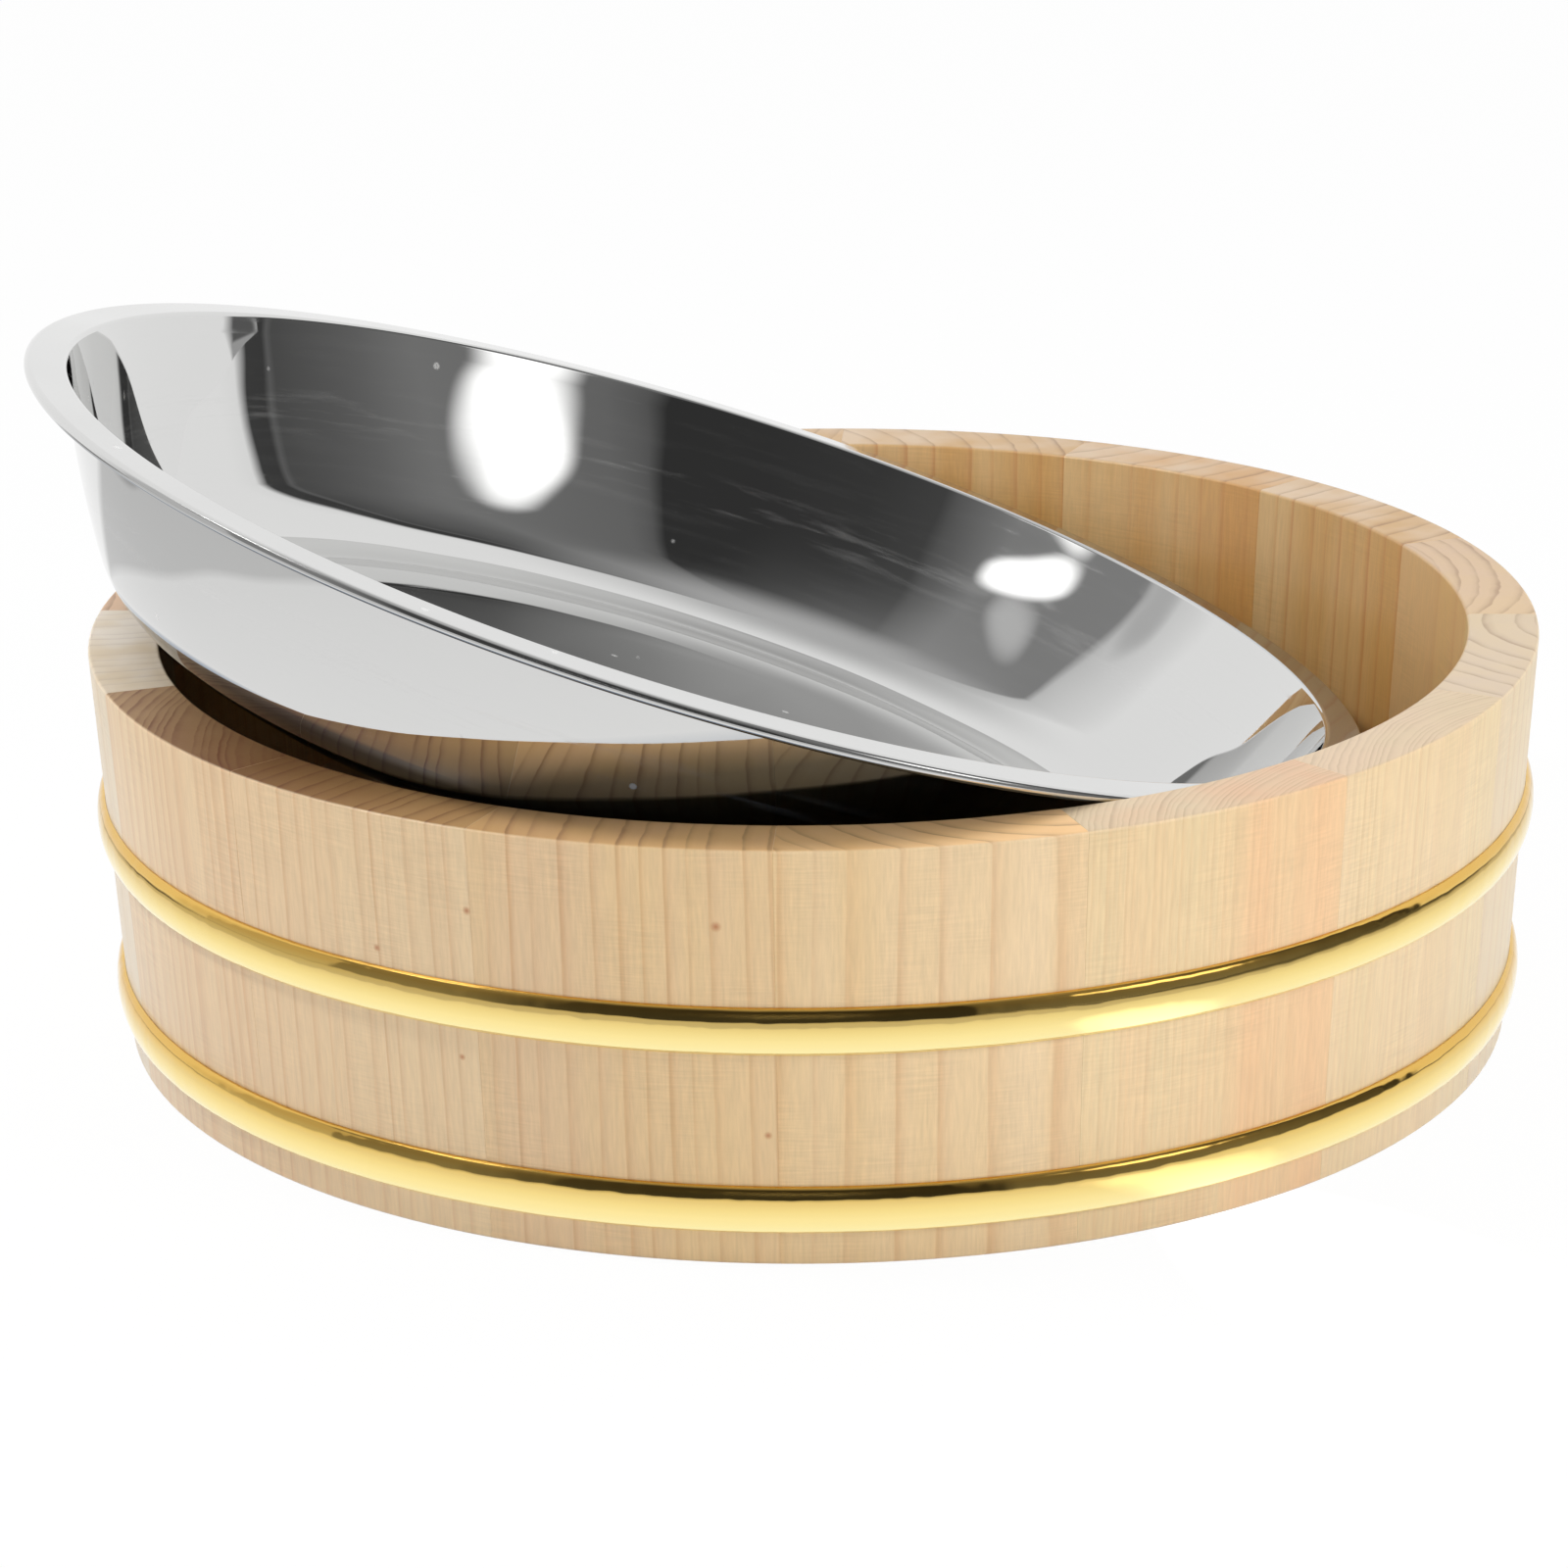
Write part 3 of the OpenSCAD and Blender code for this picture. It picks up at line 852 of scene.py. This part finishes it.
def lay_patches(tree, light, across, up, patches):
    """Lay soft-edged patches over a brightness, on two coordinates."""
    for middle, half, squareness, edge, brightness in patches:
        offs = []
        for way, centre, reach in zip((across, up), middle, half):
            off = add(tree, "MapRange", {
                "Value": way, "From Min": centre, "From Max": centre + reach,
            }, clamp=False)
            off = add(tree, "Math", {0: off}, operation="ABSOLUTE")
            offs.append(add(tree, "Math", {0: off, 1: squareness}, operation="POWER"))
        off = add(tree, "Math", {0: offs[0], 1: offs[1]}, operation="ADD")
        patch = add(tree, "MapRange", {
            "Value": off, "From Min": 1 - edge, "From Max": 1 + edge, "To Min": 1, "To Max": 0,
        }, interpolation_type="SMOOTHSTEP")
        light = add(tree, "Mix", {0: patch, 6: light, 7: grey(brightness)}, data_type="RGBA").outputs[2]
    return light


def degrees_round(tree, way):
    """Degrees round the object from the camera's side, minus to the left."""
    nearer = add(tree, "Math", {0: way.outputs["Y"], 1: -1}, operation="MULTIPLY")
    turn = add(tree, "Math", {0: way.outputs["X"], 1: nearer}, operation="ARCTAN2")
    return add(tree, "Math", {0: turn}, operation="DEGREES")


# The sheet: its size in metres, its paper, and the share of it that is white by itself and so takes no
# shadow
SHEET_SIZE = 12
SHEET_PAPER = "#F2F2F2"
SHEET_WHITE = 0.96

# Brightness of the sheet in a mirror, by metres from the tub's axis; it is white again behind the tub,
# further back than a share of the way aside
SHEET_REACH = 4
SHEET_LIGHT = [
    (0.2, 1.0), (0.3, 0.94), (0.375, 0.9), (0.385, 0.66), (0.5, 0.64), (1, 0.66), (2, 0.55), (4, 0.4),
]
SHEET_BEHIND = (0.1, 0.2)
SHEET_ASIDE = 0.3

# Painted dark patches on the sheet, seen only in a mirror, in metres aside and back from the tub's axis
SHEET_PAINTED_DARK_PATCHES = [
    Patch((4.0, -0.6), (3.45, 1.75), 4, 0.2, 0.1),
    Patch((-0.72, 0.24), (0.24, 0.1), 4, 0.3, 0.15),
]

# Pool of light beside the tub, in degrees round it and metres from its axis
SHEET_POOLS = [
    Patch((33, 0.205), (7, 0.05), 2, 1.0, 1.6),
]


def make_floor_sheet():
    """A white sheet to stand on, which stays white to the eye but keeps a soft shadow."""
    bpy.ops.object.select_all(action="DESELECT")
    bpy.ops.mesh.primitive_plane_add(size=SHEET_SIZE)
    sheet = bpy.context.object
    sheet.name = "white_sheet"
    material, tree = empty_material("white_paper")
    path = add(tree, "LightPath")
    seen = add(tree, "Math", {
        0: path.outputs["Is Camera Ray"], 1: path.outputs["Is Glossy Ray"],
    }, operation="MAXIMUM")
    seen = add(tree, "Math", {0: seen, 1: path.outputs["Is Transmission Ray"]}, operation="MAXIMUM")
    share = add(tree, "Math", {0: seen, 1: SHEET_WHITE}, operation="MULTIPLY")
    here = add(tree, "TexCoord").outputs["Object"]
    away = add(tree, "VectorMath", {0: here}, operation="LENGTH").outputs["Value"]
    reach = add(tree, "MapRange", {"Value": away, "From Max": SHEET_REACH})
    light = add(tree, "ValToRGB", {0: reach},
                stops=[(metres / SHEET_REACH, brightness) for metres, brightness in SHEET_LIGHT])
    spread = add(tree, "SeparateXYZ", {0: here})
    light = lay_patches(tree, light, spread.outputs["X"], spread.outputs["Y"], SHEET_PAINTED_DARK_PATCHES)
    light = lay_patches(tree, light, degrees_round(tree, spread), away, SHEET_POOLS)
    aside = add(tree, "Math", {0: spread.outputs["X"]}, operation="ABSOLUTE")
    depth = add(tree, "Math", {
        0: aside, 1: -SHEET_ASIDE, 2: spread.outputs["Y"],
    }, operation="MULTIPLY_ADD")
    behind = add(tree, "MapRange", {
        "Value": depth, "From Min": SHEET_BEHIND[0], "From Max": SHEET_BEHIND[1],
    })
    light = add(tree, "Math", {0: light, 1: behind}, operation="MAXIMUM")
    light = add(tree, "Math", {0: light, 1: path.outputs["Is Camera Ray"]}, operation="MAXIMUM")
    paper = add(tree, "BsdfDiffuse", {"Color": linear(SHEET_PAPER)})
    glow = add(tree, "Emission", {"Color": grey(1), "Strength": light})
    both = add(tree, "MixShader", {0: share, 1: paper, 2: glow})
    add(tree, "OutputMaterial", {"Surface": both})
    sheet.data.materials.append(material)


# Brightness of the studio round the object, by degrees from the camera, minus to the left
STUDIO_WALLS = [
    (-180, 1.0), (-118, 1.0), (-113, 0.88), (-100, 0.7), (-97, 0.28), (-60, 0.26), (-52, 0.19),
    (-44, 0.12), (-41, 0.07), (-24, 0.05), (0, 0.04), (24, 0.038), (27, 0.13), (32, 0.17), (66, 0.22),
    (78, 0.16), (97, 0.09), (98, 0.2), (99, 0.055), (104.5, 0.06), (106.5, 0.95), (112, 1.0), (180, 1.0),
]

# Patches of the walls, in degrees round and up
WALL_PATCHES = [
    Patch((-93, 12), (13, 24), 4, 0.3, 0.6),
    Patch((-103, 37), (4, 4.5), 2, 1.0, 0.55),
    Patch((-75, 50.6), (7.5, 2.6), 2, 1.0, 0.6),
]

# Brightness of the ceiling, the degrees up over which the walls pass into it, and how much more light
# the studio gives a matt surface than a mirror shows
CEILING = 0.55
CEILING_RISE = (48, 85)
MATT_LIGHT = 1.4

# Soft boxes: middle, width and height in metres, roll in degrees, strength of the light, and of the
# cloth in a mirror. They look at a point in the tub, and the light of their cloth ends as a rounded
# square.
SoftBox = namedtuple("SoftBox", "name place size roll strength in_mirror")
SOFT_BOXES = [
    SoftBox("right_soft_box", (0.659, -0.489, 0.530), (0.46, 0.32), 21, 17.6, 2),
    SoftBox("left_soft_box", (-0.518, -0.106, 0.699), (0.30, 0.08), -22, 77, 1.9),
    SoftBox("front_soft_box", (-0.1, -1.4, 0.6), (0.6, 0.4), 0, 12, 0),
]
SOFT_BOX_AIM = Vector((0, 0, 0.06))
CLOTH_SQUARENESS = 2.4


def make_soft_box(name, place, size, roll, strength, in_mirror):
    """A white cloth lit from behind, brightest in its middle."""
    bpy.ops.object.select_all(action="DESELECT")
    bpy.ops.mesh.primitive_plane_add(size=1, location=place)
    box = bpy.context.object
    box.name = name
    box.scale = (*size, 1)
    facing = (SOFT_BOX_AIM - Vector(place)).to_track_quat("Z", "Y")
    box.rotation_euler = (facing @ Quaternion(UP, math.radians(roll))).to_euler()
    box.visible_camera = False
    box.visible_shadow = False
    material, tree = empty_material(name)
    here = add(tree, "TexCoord").outputs["Object"]

    # 0 in the middle of the cloth and 1 at its edges
    from_middle = add(tree, "VectorMath", {0: here, "Scale": 2}, operation="SCALE")
    sides = add(tree, "SeparateXYZ", {0: from_middle})
    offs = []
    for side in ("X", "Y"):
        off = add(tree, "Math", {0: sides.outputs[side]}, operation="ABSOLUTE")
        offs.append(add(tree, "Math", {0: off, 1: CLOTH_SQUARENESS}, operation="POWER"))
    off = add(tree, "Math", {0: offs[0], 1: offs[1]}, operation="ADD")
    middle = add(tree, "MapRange", {
        "Value": off, "To Min": 1, "To Max": 0,
    }, interpolation_type="SMOOTHSTEP")
    behind = add(tree, "NewGeometry").outputs["Backfacing"]
    front = add(tree, "Math", {0: 1, 1: behind}, operation="SUBTRACT")
    power = add(tree, "Math", {0: middle, 1: front}, operation="MULTIPLY")
    seen = add(tree, "LightPath").outputs["Is Glossy Ray"]
    full = add(tree, "MapRange", {"Value": seen, "To Min": strength, "To Max": in_mirror})
    power = add(tree, "Math", {0: power, 1: full}, operation="MULTIPLY")
    glow = add(tree, "Emission", {"Color": grey(1), "Strength": power})
    clear = add(tree, "BsdfTransparent")
    both = add(tree, "AddShader", {0: glow, 1: clear})
    add(tree, "OutputMaterial", {"Surface": both})
    box.data.materials.append(material)


def make_studio():
    """White walls behind, a dim room on the camera's side, and a grey ceiling over both."""
    world = bpy.data.worlds.new("studio")
    bpy.context.scene.world = world
    world.use_nodes = True
    tree = world.node_tree
    tree.nodes.clear()
    coords = add(tree, "TexCoord")
    way = add(tree, "SeparateXYZ", {0: coords.outputs["Generated"]})
    turn = degrees_round(tree, way)
    rise = add(tree, "Math", {0: way.outputs["Z"]}, operation="ARCSINE")
    rise = add(tree, "Math", {0: rise}, operation="DEGREES")
    round_share = add(tree, "MapRange", {"Value": turn, "From Min": -180, "From Max": 180})
    walls = add(tree, "ValToRGB", {0: round_share},
                stops=[((degrees + 180) / 360, brightness) for degrees, brightness in STUDIO_WALLS])
    high = add(tree, "MapRange", {
        "Value": rise, "From Min": CEILING_RISE[0], "From Max": CEILING_RISE[1],
    }, interpolation_type="SMOOTHSTEP")
    light = add(tree, "Mix", {0: high, 6: walls, 7: grey(CEILING)}, data_type="RGBA").outputs[2]
    light = lay_patches(tree, light, turn, rise, WALL_PATCHES)
    path = add(tree, "LightPath")
    light = add(tree, "Mix", {
        0: path.outputs["Is Camera Ray"], 6: light, 7: grey(1),
    }, data_type="RGBA").outputs[2]
    strength = add(tree, "MapRange", {
        "Value": path.outputs["Is Diffuse Ray"], "To Min": 1, "To Max": MATT_LIGHT,
    })
    background = add(tree, "Background", {"Color": light, "Strength": strength})
    add(tree, "OutputWorld", {"Surface": background})


make_staves()
hoop_brass = polished_brass()
for hoop_name in ("hoop_upper", "hoop_lower"):
    hoop_low, hoop_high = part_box(hoop_name)
    make_hoop(hoop_name, (hoop_low.z + hoop_high.z) / 2, hoop_brass)
make_floor()
make_bowl()
make_camera()
make_floor_sheet()
make_studio()
for soft_box in SOFT_BOXES:
    make_soft_box(*soft_box)
bpy.context.scene.view_settings.view_transform = "Standard"
